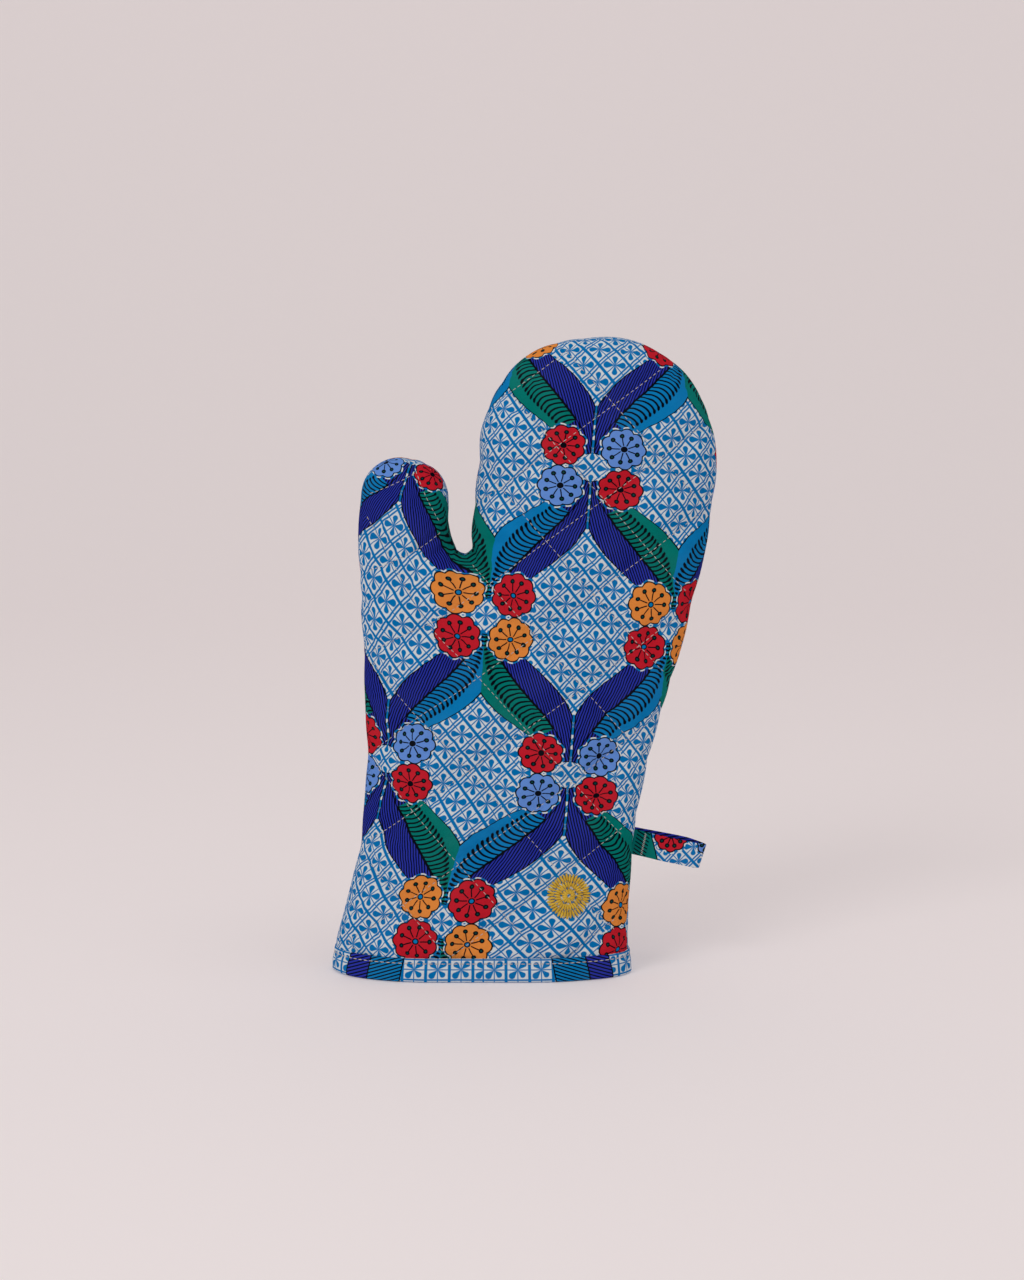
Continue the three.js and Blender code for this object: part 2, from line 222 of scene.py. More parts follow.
def quilt_lines():
    """Every quilting line as points on the panel, at an even step."""
    lines = []
    for tilt, start in QUILT_SETS:
        a = math.radians(tilt)
        along, across = np.array([math.cos(a), math.sin(a)]), np.array([-math.sin(a), math.cos(a)])
        run = np.arange(-LINE_REACH, LINE_REACH, LINE_STEP)
        for n in range(-7, 8):
            cloth = QUILT_CENTRE + np.outer(run, along) + across * (start + n * QUILT_SPACING)
            lines.append(sewn(cloth))
    return lines


# %% [markdown]
# ## A sheet of triangles over the panel
# Cloth simulation wants even triangles. They come from rings of points that follow the outline, close
# together at first because the form is steepest at its edge, from the quilting lines, and from a lattice of
# equal triangles in between. Delaunay's rule joins them, and every quilting line is kept as a chain of
# edges.

# %% Triangulate the panel
RINGS = [0.25, 0.95, 2.1, 3.7]  # distances from the outline, about even along the steep edge of the form
LATTICE = 2.3


def inward_normals(path):
    """Unit normals of the outline, pointing into the panel."""
    run = np.gradient(path, axis=0)
    n = np.stack([run[:, 1], -run[:, 0]], axis=1)
    return n / np.linalg.norm(n, axis=1)[:, None]


def inside(points, loop):
    """Which points lie inside a closed loop."""
    hits = np.zeros(len(points), int)
    for (x0, z0), (x1, z1) in zip(loop, np.roll(loop, -1, axis=0)):
        if z0 != z1:
            crosses = (points[:, 1] < z0) != (points[:, 1] < z1)
            hits += crosses & (points[:, 0] < x0 + (points[:, 1] - z0) * (x1 - x0) / (z1 - z0))
    return hits % 2 == 1


def near(points, path):
    """Each point's distance to the nearest point of a path."""
    found = np.full(len(points), 1e9)
    for p in path:
        found = np.minimum(found, ((points - p) ** 2).sum(axis=1))
    return np.sqrt(found)


normals = inward_normals(OUTLINE)
rings = [OUTLINE + normals * d for d in RINGS]
for ring in rings:
    ring[[0, -1], 1] = HEM
hem_left, hem_right = rings[-1][0, 0], rings[-1][-1, 0]
hem_x = np.linspace(hem_right, hem_left, round((hem_right - hem_left) / LATTICE) + 1)[1:-1]
hem_row = np.stack([hem_x, np.full(len(hem_x), HEM)], axis=1)
hem = np.vstack([[r[-1] for r in rings], hem_row, [r[0] for r in rings[::-1]]])
rim = np.vstack([OUTLINE, hem])
fine_outline = evenly(OUTLINE, 0.4)
chains = []
for line in quilt_lines():
    kept = inside(line, rim)
    kept[kept] = (near(line[kept], fine_outline) > RINGS[-1] + 1) & (line[kept][:, 1] > HEM + 1.5)
    for run in np.split(np.arange(len(line)), np.flatnonzero(np.diff(kept.astype(int))) + 1):
        if kept[run[0]] and len(run) > 3:
            chains.append(line[run])
columns = np.arange(-90, 130, LATTICE)
rows = np.arange(HEM + LATTICE * 0.87, OUTLINE[:, 1].max(), LATTICE * math.sin(math.pi / 3))
shifted = [columns + (k % 2) * LATTICE / 2 for k in range(len(rows))]
lattice = np.vstack([np.stack([x, np.full(len(x), z)], axis=1) for x, z in zip(shifted, rows)])
lattice = lattice[inside(lattice, rim)]
lattice = lattice[near(lattice, OUTLINE) > RINGS[-1] + 1.3]
lattice = lattice[near(lattice, np.vstack(chains)) > 1.5]
points, edges = [rim, *[r[1:-1] for r in rings], lattice], [(i, (i + 1) % len(rim)) for i in range(len(rim))]
count = sum(len(p) for p in points)
for chain in chains:
    points.append(chain)
    edges += [(count + i, count + i + 1) for i in range(len(chain) - 1)]
    count += len(chain)
cdt = delaunay_2d_cdt([Vector(p) for p in np.vstack(points)], edges, [], 1, 1e-5)
flat = np.array([tuple(v) for v in cdt[0]])
triangles = np.array(cdt[2])
print("panel:", len(flat), "points,", len(triangles), "triangles,", len(chains), "runs of quilting")

# %% Give the sheet its form
edge_gap = near(flat, fine_outline)
edge_gap[edge_gap < 0.2] = 0
depth = rounded_depth(edge_gap, flat[:, 1])
middle = edge_gap > RINGS[-1] + 0.3
depth[middle] = rounded_depth(mean_distance(flat[middle]), flat[middle, 1])
form = np.stack([flat[:, 0], -depth, flat[:, 1]], axis=1)


def facing_front(faces, co):
    """The same triangles, each turned to face the front."""
    n = np.cross(co[faces[:, 1]] - co[faces[:, 0]], co[faces[:, 2]] - co[faces[:, 0]])
    wrong = n[:, 1] > 0
    faces = faces.copy()
    faces[wrong] = faces[wrong][:, ::-1]
    return faces


def point_normals(co, faces):
    n = np.cross(co[faces[:, 1]] - co[faces[:, 0]], co[faces[:, 2]] - co[faces[:, 0]])
    total = np.zeros_like(co)
    for k in range(3):
        np.add.at(total, faces[:, k], n)
    return total / np.linalg.norm(total, axis=1)[:, None]


triangles = facing_front(triangles, form)
outward = point_normals(form, triangles)
outward[edge_gap == 0, 1] = 0  # at the seam the form faces straight sideways
outward /= np.linalg.norm(outward, axis=1)[:, None]
print("form:", form.min(axis=0).round(1), form.max(axis=0).round(1))

# %% [markdown]
# ## Quilted relief
# Stitching pulls the outer cloth down into the wadding along each line, and the cloth rises again between
# them. The first relief is drawn by rule. Bends in the palm are added where the thumb folds. The cloth
# simulation after this fills each diamond from inside and gathers the cloth towards the stitches.

# %% First relief
STITCH_PULL = 2.4
SEAM_PULL = 0.8
FOLDS = [  # from a place to a place, how deep and how wide
    ((-7.8, 221.4), (0.5, 209.0), 2.0, 4.0),
    ((-28.9, 217.8), (-13.4, 222.9), 1.6, 4.0),
    ((-62, 196), (-40, 204), 1.2, 5.0),
]
PUFF = 14  # a diamond has risen fully at this distance from its stitches
SEAM_FORWARD = 6.0  # the seam with the loop lies this far forward


def rise(distance, reach, power):
    """From 0 at a line of stitches to 1 at a distance, steep at first like cloth over wadding."""
    return 1 - (1 - np.clip(distance / reach, 0, 1)) ** power


line_gaps = line_distances(flat)
quilted = rise(line_gaps[0], PUFF, 2.4) * rise(line_gaps[1], PUFF, 2.4)
fade = smooth((edge_gap - 3) / 14)  # the quilting runs out into the seam
sink = STITCH_PULL * (1 - quilted) * (0.45 + 0.55 * fade)
sink += SEAM_PULL * np.clip(1 - edge_gap / 2.2, 0, 1) ** 2 * smooth((flat[:, 1] - 5) / 15)
sink += 0.6 * smooth((BINDING_TOP + 5 - flat[:, 1]) / 6)  # the binding holds the layers together
for (x0, z0), (x1, z1), deep, wide in FOLDS:
    a, ab = np.array([x0, z0]), np.array([x1 - x0, z1 - z0])
    t = np.clip((flat - a) @ ab / (ab @ ab), 0, 1)
    gap = np.linalg.norm(flat - a - t[:, None] * ab, axis=1)
    sink += deep * np.exp(-((gap / wide) ** 2)) * np.sqrt(np.clip(1 - t * t * 0.9, 0, 1))
beside_cuff = smooth((70 - flat[:, 1]) / 50) * np.clip(1 - edge_gap / 15, 0, 1)
sink *= 1 - 0.85 * beside_cuff  # the binding keeps the seam out to its full width
relief = form - outward * sink[:, None]
seam_side = -SEAM_FORWARD * smooth((235 - flat[:, 1]) / 60) * smooth((flat[:, 0] - 20) / 30)
lean = seam_side * np.clip(1 - edge_gap / 30, 0, 1) ** 2
print("relief:", sink.min().round(2), "to", sink.max().round(2), "mm deep")

# %% [markdown]
# ## Cloth between the stitches
# The panel is pinned along its seam, its hem and every quilting line. Air pressure from inside swells each
# diamond, and the cloth is let out by a few hundredths, so that it gathers into small folds like washed
# cotton. How far a point may move is capped, and the result is kept as plain coordinates.

# %% Simulate the panel
LET_OUT = 0.035
PRESSURE = 4.0
CLOTH_FRAMES = 22
CAP = 2.4
CLOTH_SCALE = 10  # cloth settings behave well on a sheet ten times as large


def mesh_object(name, co, faces):
    """A new object from coordinates in millimetres."""
    mesh = bpy.data.meshes.new(name)
    faces = faces.tolist() if isinstance(faces, np.ndarray) else faces
    mesh.from_pydata((np.asarray(co) * MM).tolist(), [], faces)
    mesh.update()
    made = bpy.data.objects.new(name, mesh)
    bpy.context.scene.collection.objects.link(made)
    return made


def coordinates(mesh):
    co = np.empty(len(mesh.vertices) * 3)
    mesh.vertices.foreach_get("co", co)
    return co.reshape(-1, 3)


def swollen(co, faces, pinned):
    """Coordinates after a short cloth simulation with pressure, in which the pinned points stay."""
    sheet = mesh_object("panel_in_simulation", co * CLOTH_SCALE, faces)
    group = sheet.vertex_groups.new(name="sewn")
    group.add(np.flatnonzero(pinned).tolist(), 1, "REPLACE")
    cloth = sheet.modifiers.new("Cloth", "CLOTH")
    settings = cloth.settings
    settings.quality = 5
    settings.mass = 0.2
    settings.tension_stiffness = settings.compression_stiffness = 20
    settings.shear_stiffness = 8
    settings.bending_stiffness = 0.15
    settings.shrink_min = -LET_OUT
    settings.vertex_group_mass = "sewn"
    settings.use_pressure = True
    settings.uniform_pressure_force = PRESSURE
    settings.effector_weights.gravity = 0
    scene = bpy.context.scene
    for step in range(1, CLOTH_FRAMES + 1):
        scene.frame_set(step)
    result = sheet.evaluated_get(bpy.context.evaluated_depsgraph_get()).to_mesh()
    moved = coordinates(result) / MM / CLOTH_SCALE
    scene.frame_set(1)
    bpy.data.objects.remove(sheet)
    return moved


pinned = (edge_gap < 1.0) | (np.minimum(*line_gaps) < 0.25) | (flat[:, 1] < BINDING_TOP + 1)
panel = relief.copy()
moved = swollen(relief, triangles, pinned)
step = moved - relief
size = np.linalg.norm(step, axis=1)
panel = relief + step * (np.minimum(size, CAP) / np.maximum(size, 1e-9))[:, None]
print("simulated: moved by", size.mean().round(2), "mm on average and", size.max().round(2), "at most")
panel[:, 1] += lean
panel[:, 0] += CUFF_X
form[:, 0] += CUFF_X
form[:, 1] += lean
print("front panel:", panel.min(axis=0).round(1), "to", panel.max(axis=0).round(1))

# %% [markdown]
# ## The print's own coordinates
# A print belongs to the flat cloth. In the middle of the panel it can be read straight from the front, but
# near the seam the cloth turns round the side, and there its real length along the turn is added, so that
# the print isn't stretched. The cloth also lies a little turned on the thumb and drawn aside where the cuff
# flares.

# %% Lay the print on the panel
THUMB_MARK = np.array([-61.0, 272.5])  # the print turns about here on the thumb
THUMB_PRINT_TURN = 11.0
THUMB_SLIP = np.array([5.5, 7.0])  # how far the thumb's cloth lies up and to the right
FLARE_SLIP = 11.5  # how far the flaring cuff draws the left side's cloth aside


def turned_length(gap):
    """How much longer the cloth is than it looks from the front, out to a distance from the edge."""
    g = np.linspace(0, ROUNDING, 400)
    slope = np.gradient(HAND_DEPTH * np.sqrt(1 - (1 - g / ROUNDING) ** 2), g)
    extra = np.cumsum((np.sqrt(1 + slope**2) - 1)[::-1])[::-1] * (g[1] - g[0])
    return np.interp(gap, g, extra)


def to_edge(points, path):
    """Unit directions from points to the nearest point of a path."""
    nearest = np.array([path[np.argmin(((path - p) ** 2).sum(axis=1))] for p in points])
    gap = np.linalg.norm(nearest - points, axis=1)[:, None]
    return np.where(gap > 0.5, (nearest - points) / np.maximum(gap, 0.5), 0)


def print_place(points, gap):
    """Where on the flat cloth each point of the panel was printed, in the frame's millimetres."""
    sideways = to_edge(points, fine_outline)
    at_rim = gap < 0.6
    sideways[at_rim] = to_edge(points[at_rim] + normals_at(points[at_rim]) * 2, fine_outline)
    cloth = points + sideways * turned_length(gap)[:, None] + (CUFF_X, 0)
    reach = np.linalg.norm(cloth - THUMB_MARK, axis=1)
    share = (1 - smooth((reach - 35) / 75)) * smooth((-20 - cloth[:, 0]) / 25)
    on_thumb = THUMB_MARK + turned(cloth - THUMB_MARK, THUMB_PRINT_TURN) - THUMB_SLIP
    cloth = cloth + (on_thumb - cloth) * share[:, None]
    cloth[:, 0] += FLARE_SLIP * smooth((105 - cloth[:, 1]) / 72) * smooth((45 - cloth[:, 0]) / 80)
    return cloth


def normals_at(points):
    """The outline's inward normals at points that lie on it."""
    return normals[[np.argmin(((OUTLINE - p) ** 2).sum(axis=1)) for p in points]]


cloth_uv = print_place(flat, edge_gap)
moved_by = np.linalg.norm(cloth_uv - flat - (CUFF_X, 0), axis=1)
print("print: moved by", moved_by.mean().round(1), "mm on average")

# %% [markdown]
# ## Front and back
# The back is the front's mirror image with its own slight unevenness, and is cut from another place of the
# same cloth. Each panel gets the thickness of its cotton inwards. Distances to the stitching and to the
# seam are stored with the points, and the finish reads the distance to the stitching.

# %% Make the two quilted panels
def set_uv(mesh, uv):
    """Gives each point its place on the flat cloth."""
    corner_point = np.empty(len(mesh.loops), int)
    mesh.loops.foreach_get("vertex_index", corner_point)
    layer = mesh.uv_layers.new(name="cloth")
    layer.data.foreach_set("uv", uv[corner_point].astype(np.float32).ravel())


def set_values(mesh, name, values):
    mesh.attributes.new(name, "FLOAT", "POINT").data.foreach_set("value", values.astype(np.float32))


def apply_modifiers(piece):
    """Applies every modifier of a piece in turn."""
    bpy.ops.object.select_all(action="DESELECT")
    piece.select_set(True)
    bpy.context.view_layer.objects.active = piece
    for modifier in list(piece.modifiers):
        bpy.ops.object.modifier_apply(modifier=modifier.name)
    piece.select_set(False)


def soft_shading(piece, degrees=60):
    bpy.ops.object.select_all(action="DESELECT")
    piece.select_set(True)
    bpy.context.view_layer.objects.active = piece
    bpy.ops.object.shade_smooth_by_angle(angle=math.radians(degrees))
    piece.select_set(False)


def mirrored(co):
    """Front coordinates turned into back ones, with the back's own unevenness."""
    sway = np.sin(co[:, 0] * 0.061 + co[:, 2] * 0.043) + np.sin(co[:, 0] * 0.037 - co[:, 2] * 0.071 + 2)
    back = co.copy()
    back[:, 1] = 2 * lean - co[:, 1]
    back[:, 1] += 0.4 * sway * np.clip(edge_gap / 20, 0, 1)
    return back


stitch_gap = np.minimum(*line_gaps)
BACK_CUT = (31, 52)  # where on the cloth the back is cut from
back_uv = cloth_uv * (-1, 1) + BACK_CUT
PANELS = {"front": (panel, triangles, cloth_uv), "back": (mirrored(panel), triangles[:, ::-1], back_uv)}
pieces = {}
for where, (co, faces, uv) in PANELS.items():
    piece = mesh_object(where + "_quilted_panel", co, faces)
    set_uv(piece.data, uv)
    set_values(piece.data, "to_stitch", stitch_gap)
    set_values(piece.data, "to_seam", edge_gap)
    thick = piece.modifiers.new("thickness", "SOLIDIFY")
    thick.thickness, thick.offset = 0.6 * MM, -1
    apply_modifiers(piece)
    soft_shading(piece)
    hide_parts(where + "_outer_panel")
    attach(piece, "mitt")
    pieces[piece.name] = piece
    print(piece.name, len(piece.data.polygons), "faces")

# %% [markdown]
# ## Wadding and lining
# Under the print lies the wadding. Its outer side follows the quilted relief, and its inner side is smooth,
# where the lining lies on it. Neither is seen from outside, but the lining shows in the open cuff, so both
# are made as real layers of the same sheet.

# %% Make the inner layers
def moved_in(co, by, back=False):
    """A layer of the sheet, this far under the outside."""
    n = outward * (1, -1, 1) if back else outward
    return co - n * np.asarray(by)[:, None]


def border(faces):
    """The open edges of a sheet as pairs of points, in the direction of their triangle."""
    directed = np.vstack([faces[:, [0, 1]], faces[:, [1, 2]], faces[:, [2, 0]]])
    known = {tuple(e) for e in directed.tolist()}
    return [e for e in known if (e[1], e[0]) not in known]


def closed_layer(name, outer, inner, faces):
    """A solid layer between two sheets of the same triangles."""
    n = len(outer)
    both = [*faces.tolist(), *(faces[:, ::-1] + n).tolist()]
    both += [(b, a, a + n, b + n) for a, b in border(faces)]
    piece = mesh_object(name, np.vstack([outer, inner]), both)
    soft_shading(piece)
    return piece


hang = 0.35 * np.sin(flat[:, 0] * 0.21 + np.sin(flat[:, 1] * 0.05) * 2) * smooth(edge_gap / 20)
for where, back in (("front", False), ("back", True)):
    co, faces, _ = PANELS[where]
    smooth_side = mirrored(form) if back else form
    wadding = closed_layer(
        where + "_wadding_layer",
        moved_in(co, np.full(len(co), 0.75), back),
        moved_in(smooth_side, np.full(len(co), 5.3) + sink * 0.3, back),
        faces,
    )
    lining = closed_layer(
        where + "_lining_layer",
        moved_in(smooth_side, 5.6 + sink * 0.3 + hang, back),
        moved_in(smooth_side, 6.3 + sink * 0.3 + hang, back),
        faces,
    )
    layers = ((wadding, where + "_wadding", "cotton_wadding"), (lining, where + "_lining", "lining_cotton"))
    for piece, node, slot in layers:
        set_values(piece.data, "to_stitch", np.concatenate([stitch_gap, stitch_gap]))
        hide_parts(node)
        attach(piece, "mitt")
        pieces[piece.name] = piece
        print(piece.name, len(piece.data.polygons), "faces")

# %% [markdown]
# ## The bound cuff
# A bias tape is folded round the raw edge of all the layers and stitched down. Its section is one line, up
# the inside, round the bottom and up the outside, where the stitching dents it. The section is carried
# round the oval of the cuff, which makes one closed ring.

# %% The cuff's oval
TAPE_STEP = 2.0


def cuff_oval(height):
    """Points round the form at a height, from the middle of the front to the right and on round the back."""
    left = np.interp(height, [0, 15], [-77, -76])
    right = np.interp(height, [0, 18], [77.5, 76.5])
    x = (left + right) / 2 - (right - left) / 2 * np.cos(np.linspace(0, math.pi, 200))
    points = np.stack([x, np.full(200, max(height, HEM))], axis=1)
    deep = rounded_depth(mean_distance(points), height)
    deep[[0, -1]] = 0
    shift = -SEAM_FORWARD * smooth((x - 20) / 30) * np.clip(1 - (right - x) / 30, 0, 1) ** 2
    front = np.stack([x, shift - deep], axis=1)
    back = np.stack([x, shift + deep], axis=1)[::-1]
    loop = np.vstack([front[100:], back[1:], front[1:101]])
    return evenly(loop, TAPE_STEP)


low, high = cuff_oval(0.0), cuff_oval(BINDING_TOP)
count = min(len(low), len(high)) - 1
even_low = evenly(low, np.linalg.norm(np.diff(low, axis=0), axis=1).sum() / count)[:-1]
even_high = evenly(high, np.linalg.norm(np.diff(high, axis=0), axis=1).sum() / count)[:-1]
run = np.roll(even_low, -1, axis=0) - np.roll(even_low, 1, axis=0)
ring_out = np.stack([run[:, 1], -run[:, 0]], axis=1)
ring_out /= np.linalg.norm(ring_out, axis=1)[:, None]
girth = np.linalg.norm(np.diff(low, axis=0), axis=1).sum()
print("cuff:", round(girth), "mm round,", count, "steps")


def on_cuff(step, offset, height):
    """A point this far outside the form at a step round the cuff."""
    share = height / BINDING_TOP
    flat_point = even_low[step] * (1 - share) + even_high[step] * share + ring_out[step] * offset
    return np.array([flat_point[0] + CUFF_X, flat_point[1], height])


# %% Make the binding
TAPE_INSIDE = [(-7.0, 12.2), (-7.6, 11.6), (-7.7, 8.0), (-7.5, 2.2), (-6.4, 0.4)]
TAPE_BOTTOM = [(-3.4, 0.1), (-0.6, 0.15), (0.7, 0.9)]
TAPE_OUTSIDE = [(1.0, 3.2), (0.95, 6.2), (0.6, 8.6), (0.15, 9.8), (0.45, 11.0), (0.35, 12.0)]
TAPE_LIP = [(-0.3, 12.5), (-1.6, 12.3), (-4.2, 11.6)]
LIP = 3.9  # this much of the tape turns in, out of sight
section = curve_through([*TAPE_INSIDE, *TAPE_BOTTOM, *TAPE_OUTSIDE, *TAPE_LIP], 0.75)
section_run = np.concatenate([[0], np.cumsum(np.linalg.norm(np.diff(section, axis=0), axis=1))])
section_run -= section_run[-1] - LIP  # counted from the tape's visible edge
steps = np.arange(count)
ripple = 0.22 * np.sin(steps * 0.83) * np.sin(steps * 0.19 + 1) + 0.3 * np.sin(steps * 0.27)
co = []
for k in range(count):
    for offset, height in section:
        swell = ripple[k] * (1 if offset > -2 else -0.4) * math.sin(math.pi * min(1, height / 9.8))
        co.append(on_cuff(k, offset + swell, height))
wide = len(section)
faces, corner_uv = [], []
for k in range(count):
    for j in range(wide - 1):
        a, b = k * wide + j, ((k + 1) % count) * wide + j
        faces.append((a, b, b + 1, a + 1))
        u0, u1 = k * girth / count, (k + 1) * girth / count
        v0, v1 = section_run[j], section_run[j + 1]
        corner_uv += [(u0, v0), (u1, v0), (u1, v1), (u0, v1)]
binding = mesh_object("bound_cuff", co, faces)
layer = binding.data.uv_layers.new(name="cloth")
layer.data.foreach_set("uv", np.array(corner_uv, np.float32).ravel())
thick = binding.modifiers.new("thickness", "SOLIDIFY")
thick.thickness, thick.offset = 0.5 * MM, -1
apply_modifiers(binding)
soft_shading(binding)
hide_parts("cuff_binding")
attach(binding, "mitt")
pieces["bound_cuff"] = binding
print("binding:", len(binding.data.polygons), "faces")

# %% [markdown]
# ## One stitch, copied along the lines
# A machine stitch is a short thread that comes up, lies on the cloth and goes down again. One is shaped
# from a small ball: it is drawn out and its ends are bent down. It is then copied along each line, and
# every copy is turned to the line and to the cloth under it. All the stitches of one seam are one mesh.

# %% Shape a stitch
def one_stitch(length, thick, drop):
    """Points and faces of one stitch along x, in millimetres."""
    bpy.ops.mesh.primitive_uv_sphere_add(segments=6, ring_count=6, radius=1, rotation=(0, math.pi / 2, 0))
    ball = bpy.context.active_object
    bpy.ops.object.transform_apply(location=False, rotation=True, scale=False)
    bpy.ops.object.mode_set(mode="EDIT")
    bpy.ops.mesh.select_all(action="SELECT")
    bpy.ops.transform.resize(value=(length / 2, thick / 2, thick / 2))
    bpy.ops.object.mode_set(mode="OBJECT")
    co = coordinates(ball.data)
    co[:, 2] -= drop * (2 * co[:, 0] / length) ** 4
    faces = [tuple(p.vertices) for p in ball.data.polygons]
    bpy.data.objects.remove(ball)
    return co, faces


def thread_piece(name, stitch, frames):
    """A mesh with a copy of a stitch at each frame: a centre, a direction along and a direction up."""
    shape, faces = stitch
    co, all_faces, uv = [], [], []
    for centre, along, up in frames:
        side = np.cross(up, along)
        side /= np.linalg.norm(side)
        up = np.cross(along, side)
        first = len(co) * len(shape)
        co.append(centre + shape[:, :1] * along + shape[:, 1:2] * side + shape[:, 2:] * up)
        all_faces += [tuple(first + i for i in f) for f in faces]
    piece = mesh_object(name, np.vstack(co), all_faces)
    turn = np.arctan2(shape[:, 1], shape[:, 2])
    set_uv(piece.data, np.tile(np.stack([shape[:, 0], turn], axis=1), (len(frames), 1)))
    for polygon in piece.data.polygons:
        polygon.use_smooth = True
    return piece


def frames_along(path, ups, pitch, lift):
    """Frames at an even pitch on a path."""
    length = np.concatenate([[0], np.cumsum(np.linalg.norm(np.diff(path, axis=0), axis=1))])
    found = []
    for at in np.arange(pitch / 2, length[-1] - pitch / 3, pitch):
        centre, up, back, ahead = (
            np.array([np.interp(a, length, what[:, k]) for k in range(3)])
            for what, a in ((path, at), (ups, at), (path, at - pitch / 3), (path, at + pitch / 3))
        )
        along = (ahead - back) / np.linalg.norm(ahead - back)
        up = up / np.linalg.norm(up)
        found.append((centre + up * lift, along, up))
    return found


# %% Sew the quilting
QUILT_STITCH = one_stitch(2.2, 0.44, 0.3)
index_of = {}
for i, p in enumerate(np.round(flat, 3).tolist()):
    index_of[tuple(p)] = i
for where, back in (("front", False), ("back", True)):
    co, faces, _ = PANELS[where]
    ups = point_normals(co, faces)
    frames = []
    for chain in chains:
        ids = [index_of.get(tuple(p)) for p in np.round(chain, 3).tolist()]
        ids = [i for i in ids if i is not None and flat[i, 1] > BINDING_TOP + 0.5]
        if len(ids) > 3:
            frames += frames_along(co[ids], ups[ids], 3.0, 0.12)
    thread = thread_piece(where + "_quilting_stitches", QUILT_STITCH, frames)
    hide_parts(where + "_quilting_thread")
    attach(thread, "mitt")
    pieces[thread.name] = thread
    print(thread.name, len(frames), "stitches,", len(thread.data.polygons), "faces")

# %% Sew the binding down
SEAM_HEIGHT = 9.9
around = [k % count for k in range(count + 1)]
path = np.array([on_cuff(k, 0.28 + ripple[k] * 0.1, SEAM_HEIGHT) for k in around])
ups = np.array([[*ring_out[k], 0.0] for k in around])
frames = frames_along(path, ups, 3.2, 0.1)
topstitching = thread_piece("binding_topstitching", one_stitch(2.5, 0.5, 0.3), frames)
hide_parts("cuff_topstitching")
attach(topstitching, "mitt")
pieces["binding_topstitching"] = topstitching
print("topstitching:", len(topstitching.data.polygons), "faces")

# %% [markdown]
# ## The gold embroidery
# Near the cuff sits a small round of gold thread. It is worked here as plain rings of radial satin
# stitches, one ring inside the next, on the quilted cloth. A ray from the front finds the cloth under each
# stitch.

# %% Embroider the round
MOTIF_LOW, MOTIF_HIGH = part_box("embroidered_motif")
MOTIF_X, MOTIF_Z = (MOTIF_LOW.x + MOTIF_HIGH.x) / 2 / MM, (MOTIF_LOW.z + MOTIF_HIGH.z) / 2 / MM
cloth_tree = BVHTree.FromPolygons(panel.tolist(), triangles.tolist())


def on_front(x, z):
    """The front panel's surface and its normal at a place seen from the front."""
    hit, normal, _, _ = cloth_tree.ray_cast(Vector((x, -100, z)), Vector((0, 1, 0)))
    return np.array(hit), np.array(normal)


MOTIF_RINGS = [(9.2, 40, 4.5), (5.7, 29, 4.0), (2.4, 15, 3.4)]  # middle radius, stitches, their length
SATIN_LENGTH = 4.0
satin, satin_faces = one_stitch(SATIN_LENGTH, 1.4, 0.45)
co, faces = [], []
for radius, number, length in MOTIF_RINGS:
    for k in range(number):
        a = 2 * math.pi * k / number + radius
        middle = radius + 0.25 * math.sin(k * 2.4)
        hit, normal = on_front(MOTIF_X + middle * math.cos(a), MOTIF_Z + middle * math.sin(a))
        lie = a + 0.08 * math.sin(k)
        along = np.array([math.cos(lie), 0, math.sin(lie)])
        along -= normal * (along @ normal)
        along /= np.linalg.norm(along)
        stitch = satin * (length / SATIN_LENGTH, 1, 1)
        faces += [tuple(len(co) * len(satin) + i for i in face) for face in satin_faces]
        side = np.cross(normal, along)
        co.append(hit + normal * 0.3 + stitch[:, :1] * along + stitch[:, 1:2] * side + stitch[:, 2:] * normal)
motif = mesh_object("gold_embroidered_round", np.vstack(co), faces)
for polygon in motif.data.polygons:
    polygon.use_smooth = True
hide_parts("embroidered_motif")
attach(motif, "mitt")
pieces[motif.name] = motif
print("embroidery:", len(co), "stitches,", round(MOTIF_X, 1), round(MOTIF_Z, 1))
